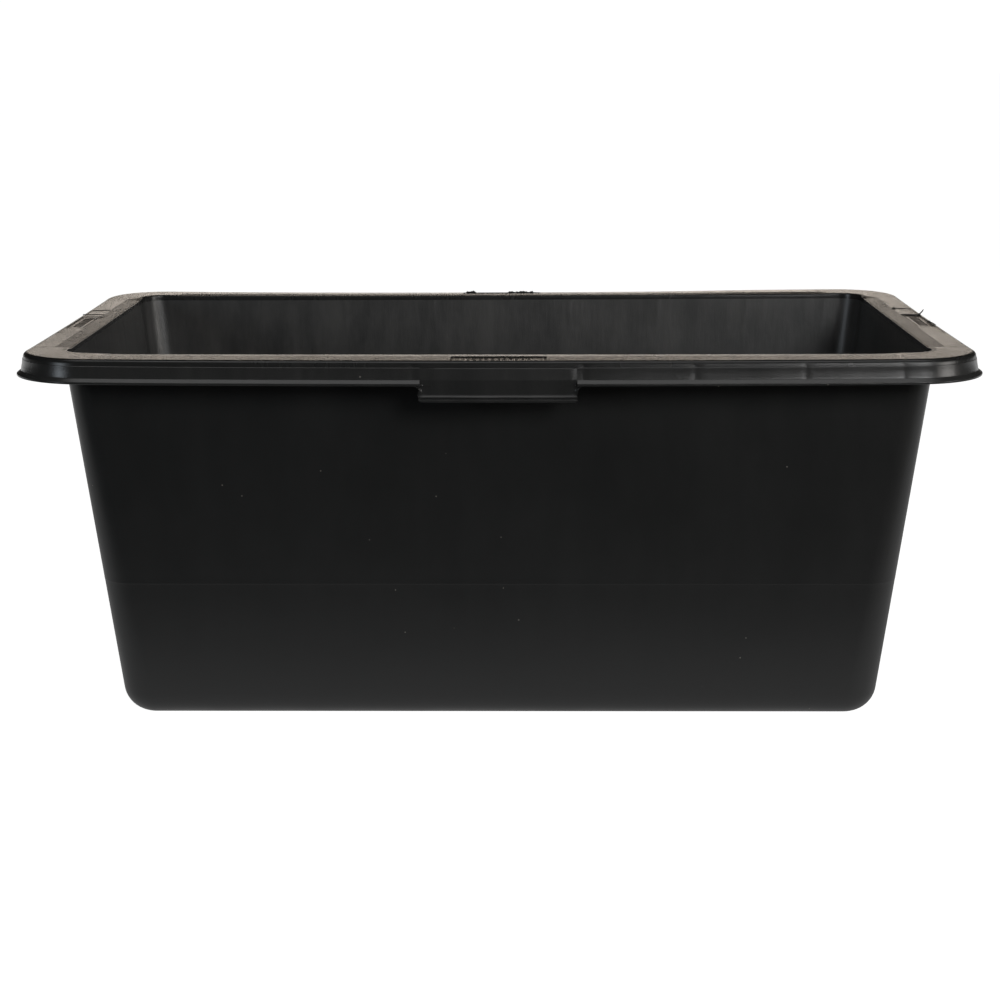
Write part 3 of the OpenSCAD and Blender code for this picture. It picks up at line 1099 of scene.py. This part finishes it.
def make_world():
    """White to the camera; for light and reflections, a bright low band behind and a dim room."""
    nodes = Nodes(bpy.data.worlds.new("studio_world"), "ShaderNodeOutputWorld")
    bpy.context.scene.world = nodes.owner
    direction = nodes.add("ShaderNodeSeparateXYZ")
    nodes.link(nodes.add("ShaderNodeTexCoord").outputs["Generated"], direction.inputs[0])
    y, z = direction.outputs["Y"], direction.outputs["Z"]
    behind = nodes.ramp(y, BAND_SIDE, BAND_MIDDLE, BESIDE_BAND, 1.0)
    band = nodes.ramp(z, BAND_FULL, BAND_END, BAND_LIGHT, BAND_ABOVE)
    above_floor = nodes.ramp(z, BAND_FOOT, BAND_START, BAND_BELOW, 1.0)
    band = nodes.maths("MULTIPLY", nodes.maths("MULTIPLY", behind, band), above_floor)
    lit = nodes.add("ShaderNodeBackground")
    nodes.feed(lit.inputs["Color"],
               nodes.mix(nodes.ramp(z, WARM_START, WARM_FULL), LOW_TINT, HIGH_TINT))
    nodes.feed(lit.inputs["Strength"], nodes.maths("ADD", band, ROOM_LIGHT))
    white = nodes.add("ShaderNodeBackground")
    nodes.feed(white.inputs["Color"], (1, 1, 1, 1))
    nodes.feed(white.inputs["Strength"], WHITE_SEEN)
    nodes.seen_or_lit(lit, white)


def add_light(name, place, aim, size, power, colour=(1, 1, 1)):
    """A soft rectangular light of a given width and height, turned towards a point."""
    data = bpy.data.lights.new(name, "AREA")
    data.shape = "RECTANGLE"
    data.size, data.size_y = size
    data.energy = power
    data.color = colour
    light = bpy.data.objects.new(name, data)
    light.location = place
    light.rotation_euler = (Vector(aim) - Vector(place)).to_track_quat("-Z", "Y").to_euler()
    bpy.context.scene.collection.objects.link(light)


CAMERA_LENS = 72.1
CAMERA_SIDE, CAMERA_DISTANCE, CAMERA_ABOVE = 0.0118, 1.7498, 0.2424    # from the rim's middle
CAMERA_DOWN, CAMERA_TURN, CAMERA_ROLL = 0.2277, 0.0070, -0.0013        # radians


def make_camera():
    """The photograph's viewing angle: in front, a little above the rim, looking slightly down."""
    data = bpy.data.cameras.new("photo_camera")
    data.sensor_width = 36.0
    data.lens = CAMERA_LENS
    data.clip_end = 100
    camera = bpy.data.objects.new("photo_camera", data)
    middle = (LOW + HIGH) / 2
    camera.location = (middle.x + CAMERA_SIDE, middle.y - CAMERA_DISTANCE, HIGH.z + CAMERA_ABOVE)
    tilt = Euler((math.pi / 2 - CAMERA_DOWN, 0, CAMERA_TURN)).to_matrix()
    camera.rotation_euler = (tilt @ Euler((0, 0, CAMERA_ROLL)).to_matrix()).to_euler()
    bpy.context.scene.collection.objects.link(camera)
    bpy.context.scene.camera = camera


make_floor()
make_world()
# Each light's name, place, aim, size, power and colour
add_light("top_soft", (0, -0.3, 2.4), (0, -0.2, 0), (2.2, 1.0), 8.5)
add_light("front_soft", (1.2, -2.57, 1.44), (0, 0, 0.28), (0.9, 0.9), 20.5)
add_light("right_soft", (2.22, -1.33, 0.75), (0.3, -0.1, 0.28), (1.0, 0.7), 12, (1, 0.97, 0.93))
add_light("left_soft", (-1.87, -1.78, 0.74), (-0.3, -0.1, 0.28), (0.5, 0.6), 5.3, (0.84, 0.92, 1))
make_camera()
bpy.context.scene.view_settings.view_transform = "Standard"
bpy.context.scene.view_settings.look = "None"
